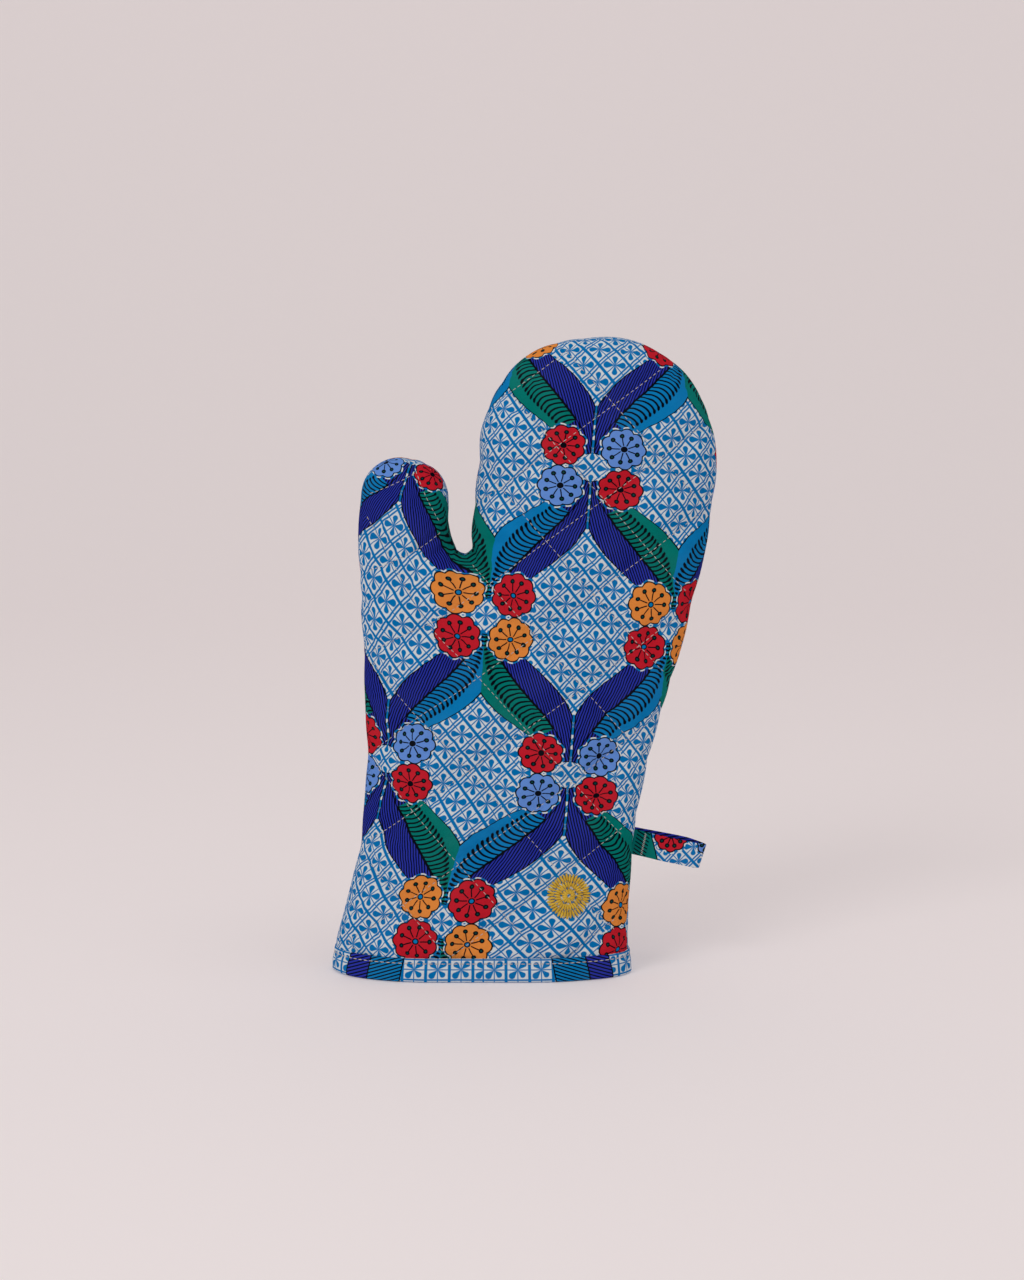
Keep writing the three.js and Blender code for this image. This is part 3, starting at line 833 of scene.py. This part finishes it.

# %% [markdown]
# ## The hanging loop
# A folded strip is caught in the side seam and hangs a little down. Seen from above it is a slim drop: two
# legs that lie together at the seam, part, and meet again in a soft bend. It is one ribbon along that line,
# given its thickness afterwards, and it droops from the joint close to the seam.

# %% Make the loop
JOINT = frame["joints"][0]
ROOT = np.array(JOINT["pos_m"]) / MM
DROOP = math.radians(12)
LOOP_LENGTH, LOOP_WIDTH, PLY = 36.0, 13.0, 1.1
LEG_IN_SEAM = [(-6.0, -0.7), (-2, -0.7), (2.2, -0.75)]  # along the strip and across the opening
LEG_OUT = [(6, -1.3), (11, -2.1), (17, -2.5), (24, -2.6), (30, -2.5), (33.6, -1.9), (35.2, 0.0)]
half_line = curve_through([*LEG_IN_SEAM, *LEG_OUT], 1.0)
line = np.vstack([half_line, (half_line * (1, -1))[::-1][1:]])
ribbon_run = np.concatenate([[0], np.cumsum(np.linalg.norm(np.diff(line, axis=0), axis=1))])
across = np.linspace(-LOOP_WIDTH / 2, LOOP_WIDTH / 2, 13)
co, uv = [], []
for (s, y), r in zip(line, ribbon_run):
    rise_back = 1.1 * smooth((r - ribbon_run[-1] / 2) / 12)  # the back leg stands a little higher
    for w in across:
        slant = -0.09 * w * smooth(s / LOOP_LENGTH)  # the fold isn't quite square
        edge = abs(w) / (LOOP_WIDTH / 2)
        puff = 0.25 * (1 - edge**4) - 0.1 * math.exp(-(((edge - 0.82) / 0.07) ** 2))
        side_sign = -1 if r < ribbon_run[-1] / 2 else 1
        wave = 0.2 * math.sin(s * 0.35 + w * 0.12)
        sx, sz = s - slant, w + rise_back
        x = ROOT[0] + sx * math.cos(DROOP) + sz * math.sin(DROOP)
        z = ROOT[2] - sx * math.sin(DROOP) + sz * math.cos(DROOP)
        co.append((x, y + side_sign * puff * smooth(s / 4) + wave * smooth(s / 10), z))
        uv.append((r, w))
faces = []
wide = len(across)
for k in range(len(line) - 1):
    for j in range(wide - 1):
        a, b = k * wide + j, (k + 1) * wide + j
        faces.append((a, b, b + 1, a + 1))
loop = mesh_object("folded_hanging_loop", co, faces)
set_uv(loop.data, np.array(uv))
thick = loop.modifiers.new("thickness", "SOLIDIFY")
thick.thickness, thick.offset = PLY * MM, 0
rounding = loop.modifiers.new("soft_edges", "BEVEL")
rounding.width, rounding.segments, rounding.limit_method = 0.35 * MM, 2, "ANGLE"
apply_modifiers(loop)
soft_shading(loop)
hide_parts("hanging_loop", "loop_seam_end")
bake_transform(loop)
pieces[loop.name] = loop
print("loop:", round(ribbon_run[-1]), "mm of strip,", len(loop.data.polygons), "faces")

# %% Tack the loop
TACKS, TACK_PITCH, TACK_SLANT = 13, 0.9, 0.5
tack = []
tack_along = np.array([math.cos(DROOP + TACK_SLANT), 0, -math.sin(DROOP + TACK_SLANT)])
for k in range(TACKS):
    w = (k - (TACKS - 1) / 2) * TACK_PITCH
    s = 3.9 + 0.15 * (k % 2)
    x = ROOT[0] + s * math.cos(DROOP) + w * math.sin(DROOP)
    z = ROOT[2] - s * math.sin(DROOP) + w * math.cos(DROOP)
    tack.append((np.array([x, -1.75, z]), tack_along, np.array([0, -1.0, 0])))
bar_tack = thread_piece("loop_bar_tack_stitches", one_stitch(1.5, 0.5, 0.25), tack)
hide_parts("loop_bar_tack")
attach(bar_tack, "loop")
pieces[bar_tack.name] = bar_tack
print("bar tack:", len(tack), "stitches")

# %% [markdown]
# ## Shader sums
# A print is a drawing made of distances, so its nodes are written as sums. `Value` holds a socket, and each
# operator adds one Math node. Everything that isn't a plain sum comes from `Finish.node`.

# %% Values and finishes
def put(socket, value):
    """Gives a socket a link or a plain value."""
    if isinstance(value, Value):
        socket.id_data.links.new(value.socket, socket)
    else:
        socket.default_value = value


class Value:
    """A socket that can be used in a sum."""

    def __init__(self, socket):
        self.socket = socket

    def math(self, operation, *others, first=None, clamp=False):
        node = self.socket.id_data.nodes.new("ShaderNodeMath")
        node.operation, node.use_clamp = operation, clamp
        terms = (self, *others) if first is None else (first, self)
        for socket, term in zip(node.inputs, terms):
            put(socket, term)
        return Value(node.outputs[0])

    def __add__(self, other):
        return self.math("ADD", other)

    def __sub__(self, other):
        return self.math("SUBTRACT", other)

    def __rsub__(self, other):
        return self.math("SUBTRACT", first=other)

    def __mul__(self, other):
        return self.math("MULTIPLY", other)

    def __truediv__(self, other):
        return self.math("DIVIDE", other)

    def __rtruediv__(self, other):
        return self.math("DIVIDE", first=other)

    def __pow__(self, other):
        return self.math("POWER", other)

    def __neg__(self):
        return self.math("MULTIPLY", -1)

    def __abs__(self):
        return self.math("ABSOLUTE")

    __radd__, __rmul__ = __add__, __mul__

    def least(self, other):
        return self.math("MINIMUM", other)

    def most(self, other):
        return self.math("MAXIMUM", other)

    def sin(self):
        return self.math("SINE")

    def cos(self):
        return self.math("COSINE")

    def root(self):
        return self.math("SQRT")

    def wrap(self, half):
        """The value brought between -half and half by whole periods."""
        return self.math("WRAP", half, -half)

    def above(self, level):
        return self.math("GREATER_THAN", level)

    def clamped(self):
        return self.math("ADD", 0.0, clamp=True)

    def within(self, soft=0.15):
        """1 where the distance is below zero and 0 where it is above, with a soft step."""
        return (self * (-1 / soft)).math("ADD", 0.5, clamp=True)


def distance(x, y):
    return (x * x + y * y).root()


def colour(r, g, b):
    """An sRGB colour, 0 to 255, as the linear numbers that shaders use."""
    shares = [c / 255 for c in (r, g, b)]
    linear = [c / 12.92 if c <= 0.04045 else ((c + 0.055) / 1.055) ** 2.4 for c in shares]
    return (*linear, 1.0)


class Finish:
    """A material under construction."""

    def __init__(self, name, roughness=0.9, sheen=0.0, specular=0.2):
        self.material = bpy.data.materials.new(name)
        self.material.use_nodes = True
        self.tree = self.material.node_tree
        self.shader = self.tree.nodes["Principled BSDF"]
        self.shader.inputs["Roughness"].default_value = roughness
        self.shader.inputs["Sheen Weight"].default_value = sheen
        self.shader.inputs["Specular IOR Level"].default_value = specular

    def node(self, kind, settings=(), values=(), output=0):
        made = self.tree.nodes.new("ShaderNode" + kind)
        for key, value in dict(settings).items():
            setattr(made, key, value)
        for key, value in dict(values).items():
            put(made.inputs[key], value)
        return Value(made.outputs[output])

    def mix(self, share, a, b):
        return self.node("Mix", {"data_type": "RGBA"}, {0: share, 6: a, 7: b}, output=2)

    def noise(self, vector, scale, detail=2.0):
        return self.node("TexNoise", {}, {"Vector": vector, "Scale": scale, "Detail": detail})

    def parts(self, vector):
        node = self.tree.nodes.new("ShaderNodeSeparateXYZ")
        put(node.inputs[0], vector)
        return [Value(socket) for socket in node.outputs]

    def finish(self, base, roughness=None, height=None, depth=0.1):
        """Joins what changes over the surface to the shader. Depth is the relief's height in millimetres."""
        put(self.shader.inputs["Base Color"], base)
        if roughness is not None:
            put(self.shader.inputs["Roughness"], roughness)
        if height is not None:
            bump = self.node("Bump", {}, {"Height": height, "Distance": depth * MM, "Strength": 1.0})
            put(self.shader.inputs["Normal"], bump)
        return self.material


# %% [markdown]
# ## The printed cotton
# The cloth has a trellis of blue lines with a small sprig in each diamond. Garlands of two-sided feather
# leaves swing over it in an ogee, and four round blossoms sit at each point where two garlands meet. All of
# it is drawn from textbook curves: straight lines, cosine waves, circles and drops.

# %% Colours of the print
GROUND = colour(220, 227, 230)
SKY = colour(0, 116, 184)
NAVY = colour(42, 54, 172)
INK = colour(6, 9, 20)
GREEN = colour(0, 123, 114)
AZURE = colour(10, 127, 192)
PALE_BLUE = colour(102, 148, 224)
DEEP_GREEN = colour(10, 70, 66)
RED = colour(200, 30, 46)
ORANGE = colour(234, 143, 64)
REPEAT = (96.0, 157.5)
FIRST_MEETING = (34.7, 264.2)  # a place where garlands meet
PRINT_TURN = math.radians(4)
PRINT_DRIFT = 0.7  # the print wanders by about this much, as cloth does
DIAMOND = (16.0, 17.5)  # width and height of a diamond of the trellis
LINES_APART = 11.8  # and the distance between its parallel sides


def trellis(pen, x, z, under):
    """Diamonds of plain and double lines, with a four-leaved sprig in each."""
    s, t = x / DIAMOND[0] + z / DIAMOND[1], x / DIAMOND[0] - z / DIAMOND[1]
    s_in, t_in = (s - 0.5).wrap(0.5), (t - 0.5).wrap(0.5)
    plain = (0.5 - abs(s_in)) * LINES_APART - 0.8
    double = abs((0.5 - abs(t_in)) * LINES_APART - 0.8) - 0.46
    thin = abs(s_in).least(abs(t_in)) * LINES_APART - 0.28
    cx, cz = (s_in + t_in) * (DIAMOND[0] / 2), (s_in - t_in) * (DIAMOND[1] / 2)
    drops = []
    for across, ahead, long, wide in ((cz, cx, 3.8, 1.75), (cx, cz, 3.7, 1.45)):
        reach = (abs(ahead) * (1 / long)).clamped()
        drops.append(distance(across, abs(ahead) - reach * long) - reach * wide)
    shape = plain.least(double).least(drops[0]).least(drops[1]).least(thin)
    return pen.mix(shape.within(0.3), under, SKY)


def blossom(pen, x, z, radius, petals, fill, eye, under):
    """A round blossom: a dashed rim, an ink line, a fill, and a wheel of stamens with dots."""
    r = distance(x, z)
    a = z.math("ARCTAN2", x)
    lobes = abs((a * (petals / 2)).cos())
    edge = r - lobes * (radius * 0.12) - radius * 0.88
    dash = (a * (petals * 1.5)).sin().within(0.5)
    out = pen.mix((edge - 1.1).within(), under, pen.mix(dash, GROUND, SKY))
    out = pen.mix((edge - 0.35).within(), out, INK)
    out = pen.mix((edge + 0.35).within(), out, fill)
    spoke = (a * (petals / (2 * math.pi)) + 0.5).wrap(0.5) * (2 * math.pi / petals)
    stem = (abs(spoke) * r - 0.3).most(abs(r - radius * 0.37) - radius * 0.19)
    dot = distance(spoke * r, r - radius * 0.64)
    out = pen.mix(stem.least(dot - 1.2).least(r - 1.6).within(), out, INK)
    out = pen.mix((dot - 0.5).within(), out, DEEP_GREEN)
    return pen.mix((r - 0.95).within(), out, eye)


def feather(pen, x, z, tint, under):
    """A leaf along a garland's swing: one side navy, one side tinted, both with comb strokes."""
    share = z * (2 / REPEAT[1])
    angle = share * math.pi
    swing = (1 - angle.cos()) * (REPEAT[0] / 4)
    slope = angle.sin() * (REPEAT[0] / REPEAT[1] * math.pi / 2)
    off = (x - swing) / (slope * slope + 1).root()
    full = angle.sin().most(0.001)
    navy_gap = (-off) - full**0.95 * (share * 9.5 + 8.4)
    tint_wide = full**1.35 * (27.0 - share * 18.5)
    tint_gap = off - tint_wide
    gap = navy_gap.most(tint_gap)
    leaf = gap.most(0.5 - x).most(7.0 - distance(x, z))
    leaf = leaf.most(9.0 - distance(REPEAT[0] / 2 - x, REPEAT[1] / 2 - z))
    navy_side = off.within(0.2)
    navy_comb = abs(((x + off * 0.9) / 2.3).wrap(0.5)) * 2.0 - 0.46
    tint_comb = abs(((z + off * off * 0.045) / 1.95).wrap(0.5)) * 1.9
    to_end = off - tint_wide * 0.66
    bulb = (1 - abs(to_end + 1.2) / 1.3).clamped() * 0.3
    tint_comb = (tint_comb - 0.36 - bulb).most(to_end)
    tint_half = pen.mix(tint_comb.within(0.2), tint, INK)
    navy_half = pen.mix(navy_comb.within(0.3), NAVY, INK)
    body = pen.mix(navy_side, tint_half, navy_half)
    body = pen.mix((abs(off) - 0.55).within(), body, INK)
    root = (z + x * 0.6 - 29).within(0.2) * (1 - navy_side)
    root_comb = abs(((x - z * 0.3) / 1.6).wrap(0.5)) * 1.5 - 0.42
    body = pen.mix(root, body, pen.mix(root_comb.within(0.3), NAVY, INK))
    body = pen.mix((leaf + 0.6).within(), INK, body)
    return pen.mix(leaf.within(), under, body)


def printed(pen, cloth):
    """The whole print as a colour, from a place on the flat cloth in millimetres."""
    drift = pen.noise(cloth, 0.18, 1.0)
    u, v, _ = pen.parts(cloth)
    mean = PRINT_DRIFT / 2  # what the drift adds on average
    u = u + drift * PRINT_DRIFT - (FIRST_MEETING[0] + mean)
    v = v - drift * PRINT_DRIFT - (FIRST_MEETING[1] - mean)
    c, s = math.cos(PRINT_TURN), math.sin(PRINT_TURN)
    x = (u * c - v * s).wrap(REPEAT[0] / 2)
    z = (u * s + v * c).wrap(REPEAT[1] / 2)
    other = (x * z).above(0.0)
    out = trellis(pen, x, z, GROUND)
    out = feather(pen, abs(x), abs(z), pen.mix(other, GREEN, AZURE), out)
    ax, az = abs(x), abs(z)
    fill_a = pen.mix(other, RED, PALE_BLUE)
    out = blossom(pen, (ax - 15.2) * 0.94, (az - 10.2) * 1.05, 10.8, 9, fill_a, INK, out)
    fill_b = pen.mix(other, ORANGE, RED)
    out = blossom(pen, REPEAT[0] / 2 - ax - 13.2, REPEAT[1] / 2 - az - 11.4, 11.4, 9, fill_b, AZURE, out)
    return out


def weave(pen, cloth):
    """The relief of a plain weave, two yarns to the millimetre, and of uneven yarns."""
    u, v, _ = pen.parts(cloth)
    return (u * 13.0).sin() * (v * 13.0).sin() * 0.5 + pen.noise(cloth, 1.4, 3.0)


# %% Finish the panels
def printed_cotton(name, draw):
    pen = Finish(name, roughness=0.9, specular=0.02)
    cloth = pen.node("UVMap", {"uv_map": "cloth"})
    base = draw(pen, cloth)
    worn = pen.noise(cloth, 0.05, 3.0)
    base = pen.mix((worn - 0.4).most(0.0) * 0.03, base, GROUND)
    return pen, cloth, base


pen, cloth, base = printed_cotton("printed_cotton_cloth", printed)
to_stitch = pen.node("Attribute", {"attribute_name": "to_stitch"}, output=2)
pucker = pen.noise(cloth, 0.32, 2.0) * (1 - to_stitch / 7).clamped()
relief_height = weave(pen, cloth) * 0.12 + pucker * 4.0 + pen.noise(cloth, 0.12, 3.0) * 3.0
PANEL_FINISH = pen.finish(base, 0.8 + pen.noise(cloth, 0.4) * 0.15, relief_height, 0.3)
print("panel finish:", len(pen.tree.nodes), "nodes")

# %% Finish the binding
def tape_print(pen, cloth):
    """The same cloth cut on the bias, where the diamonds stand square to the tape."""
    u, v, _ = pen.parts(cloth)
    u = u.wrap(92.0)
    x, z = (u + v) * 0.66, (u - v) * 0.72
    out = trellis(pen, x, z, GROUND)
    a = abs(u)
    comb = abs(((a * 0.35 + v) / 1.8 + 0.5).wrap(0.5)) * 1.8 - 0.38
    azure_band = abs(a - 45 + v * 0.15) - 9
    navy_band = abs(a - 60.5 + v * 0.15) - 6.5
    out = pen.mix(azure_band.within(), out, pen.mix(comb.within(), AZURE, INK))
    out = pen.mix(navy_band.within(), out, pen.mix(comb.within(), NAVY, INK))
    for band in (azure_band, navy_band):
        out = pen.mix((abs(band) - 0.35).within(), out, INK)
    return out


pen, cloth, base = printed_cotton("printed_bias_tape", tape_print)
drag = pen.noise(cloth, 0.25, 2.0) * 3.0 + weave(pen, cloth) * 0.12
TAPE_FINISH = pen.finish(base, 0.85, drag, 0.3)

# %% Finish the loop
def loop_print(pen, cloth):
    """A strip of the same print: green at the seam, a red blossom, a pale one at the fold, a navy back."""
    u, v, _ = pen.parts(cloth)
    out = trellis(pen, u * 1.1 + v * 0.25, v * 1.1 - u * 0.25 + 4, GROUND)
    green = u + v * 0.5 - 15.5
    comb = abs(((u * 0.4 + v) / 1.9 + 0.5).wrap(0.5)) * 1.9 - 0.36
    out = pen.mix((green - 0.7).within(), out, INK)
    out = pen.mix(green.within(), out, pen.mix(comb.most(abs(u - 9) - 3.5).within(), GREEN, INK))
    out = blossom(pen, u - 23, v - 7.5, 8.5, 9, RED, INK, out)
    out = blossom(pen, u - 43, v - 7.5, 6.5, 8, PALE_BLUE, INK, out)
    back_leg = (47 - u).within(1.0) * (u - 84).within(1.0)
    return pen.mix(back_leg, out, pen.mix(comb.within(), NAVY, INK))


pen, cloth, base = printed_cotton("printed_loop_strip", loop_print)
LOOP_FINISH = pen.finish(base, 0.85, pen.noise(cloth, 0.3) * 2.0 + weave(pen, cloth) * 0.12, 0.3)
pieces["front_quilted_panel"].data.materials.append(PANEL_FINISH)
pieces["back_quilted_panel"].data.materials.append(PANEL_FINISH)
pieces["bound_cuff"].data.materials.append(TAPE_FINISH)
pieces["folded_hanging_loop"].data.materials.append(LOOP_FINISH)

# %% [markdown]
# ## Wadding, lining and threads
# Wadding is a loose felt of fibres. The lining is plain cotton in a natural white, gathered a little at the
# quilting, where painted shade darkens it. Sewing thread is two twisted yarns with a soft shine, and
# embroidery thread is glossier.

# %% Finish the inner layers and the threads
pen = Finish("wadding_felt", roughness=0.95)
place = pen.node("TexCoord", {}, {}, output=3)
fibre = pen.noise(place, 900.0, 4.0)
WADDING_FINISH = pen.finish(pen.mix(fibre, colour(214, 208, 196), colour(243, 240, 232)), None, fibre, 0.5)

pen = Finish("plain_lining_cotton", roughness=0.9, sheen=0.1)
place = pen.node("TexCoord", {}, {}, output=3)
x, y, z = pen.parts(place)
threads = (x * 13000.0).sin() * (z * 13000.0).sin()
near_stitch = pen.node("Attribute", {"attribute_name": "to_stitch"}, output=2)
# Near the quilting the lining is painted darker as painted shade in its dents, and the same share sinks its
# bump there; tone varies the colour at random.
stitch_dent_and_shade = (1 - near_stitch / 4).clamped()
tone = pen.noise(place, 60.0, 3.0)
base = pen.mix(stitch_dent_and_shade * 0.35 + tone * 0.2, colour(233, 227, 216), colour(190, 182, 170))
LINING_FINISH = pen.finish(base, None, threads * 0.1 - stitch_dent_and_shade * 2 + pen.noise(place, 150.0) * 2, 0.3)


def thread_finish(name, light, dark, roughness):
    pen = Finish(name, roughness=roughness, sheen=0.1)
    place = pen.node("TexCoord", {}, {}, output=3)
    u, v, _ = pen.parts(pen.node("UVMap", {"uv_map": "cloth"}))
    twist = (u * 9.0 + v).sin() * 0.5 + 0.5
    tone = pen.noise(place, 220.0, 2.0)
    return pen.finish(pen.mix(twist * 0.5 + tone * 0.4, light, dark), None, twist, 0.12)


THREAD_FINISH = thread_finish("sewing_thread", colour(232, 222, 216), colour(176, 164, 158), 0.6)
pen = Finish("gold_embroidery_thread", roughness=0.5)
place = pen.node("TexCoord", {}, {}, output=3)
tone = pen.noise(place, 320.0, 3.0)
gold = pen.mix(tone, colour(176, 136, 30), colour(246, 208, 78))
GOLD_FINISH = pen.finish(gold, 0.35 + tone * 0.3, tone, 0.2)
for name, piece in pieces.items():
    if name.endswith("_wadding_layer"):
        piece.data.materials.append(WADDING_FINISH)
    elif name.endswith("_lining_layer"):
        piece.data.materials.append(LINING_FINISH)
    elif name == "gold_embroidered_round":
        piece.data.materials.append(GOLD_FINISH)
    elif "stitch" in name:
        piece.data.materials.append(THREAD_FINISH)
print("finishes:", [m.name for m in bpy.data.materials])

# %% [markdown]
# ## Studio
# A pale sheet runs along the floor and up behind, with a wide bend, so that no line shows between floor and
# wall. Large lights in front and above give the soft light of a product studio. The camera has a long lens
# and looks slightly down.

# %% Floor and backdrop
BACKDROP_Y, BEND, BACKDROP_TOP = 2.4, 0.9, 3.4
profile = [(-4.0, 0.0), (BACKDROP_Y - BEND, 0.0)]
for k in range(1, 17):
    a = math.pi / 2 * k / 16
    profile.append((BACKDROP_Y - BEND + BEND * math.sin(a), BEND - BEND * math.cos(a)))
profile.append((BACKDROP_Y, BACKDROP_TOP))
co = [(x / MM, y / MM, z / MM) for y, z in profile for x in (-4.0, 4.0)]
faces = [(2 * k, 2 * k + 1, 2 * k + 3, 2 * k + 2) for k in range(len(profile) - 1)]
sweep = mesh_object("paper_sweep", co, faces)
for polygon in sweep.data.polygons:
    polygon.use_smooth = True
pen = Finish("pale_paper", roughness=0.9)
place = pen.node("TexCoord", {}, {}, output=3)
grain = pen.noise(place, 40.0, 4.0)
PAPER = colour(223, 215, 215)
pen.shader.inputs["Emission Color"].default_value = PAPER
pen.shader.inputs["Emission Strength"].default_value = 0.3
paper = pen.mix(grain * 0.04, PAPER, colour(211, 203, 203))
sweep.data.materials.append(pen.finish(paper, None, grain, 0.05))

# %% Lights and camera
def soft_light(name, place, size, energy, tint, target=(0, 0, 0.15)):
    lamp = bpy.data.lights.new(name, "AREA")
    lamp.shape, lamp.size, lamp.energy, lamp.color = "DISK", size, energy, tint
    made = bpy.data.objects.new(name, lamp)
    made.location = place
    made.rotation_euler = (Vector(target) - Vector(place)).to_track_quat("-Z", "Y").to_euler()
    bpy.context.scene.collection.objects.link(made)


soft_light("front_softbox", (-1.3, -2.0, 1.7), 1.3, 19, (1, 0.99, 0.98))
soft_light("top_softbox", (0.5, -0.4, 2.3), 1.6, 8, (1, 1, 1))
world = bpy.data.worlds.new("studio")
world.use_nodes = True
world.node_tree.nodes["Background"].inputs["Color"].default_value = colour(240, 236, 235)
world.node_tree.nodes["Background"].inputs["Strength"].default_value = 0.5
bpy.context.scene.world = world

camera = bpy.data.objects.new("camera", bpy.data.cameras.new("camera"))
camera.data.lens = 85
DISTANCE, ELEVATION, AIM = 1.56, math.radians(7.5), Vector((-0.0055, 0.0, 0.1731))
back = Vector((0, -math.cos(ELEVATION), math.sin(ELEVATION)))
camera.location = AIM + back * DISTANCE
camera.rotation_euler = (-back).to_track_quat("-Z", "Y").to_euler()
bpy.context.scene.collection.objects.link(camera)
bpy.context.scene.camera = camera
print("camera:", tuple(round(c, 3) for c in camera.location))
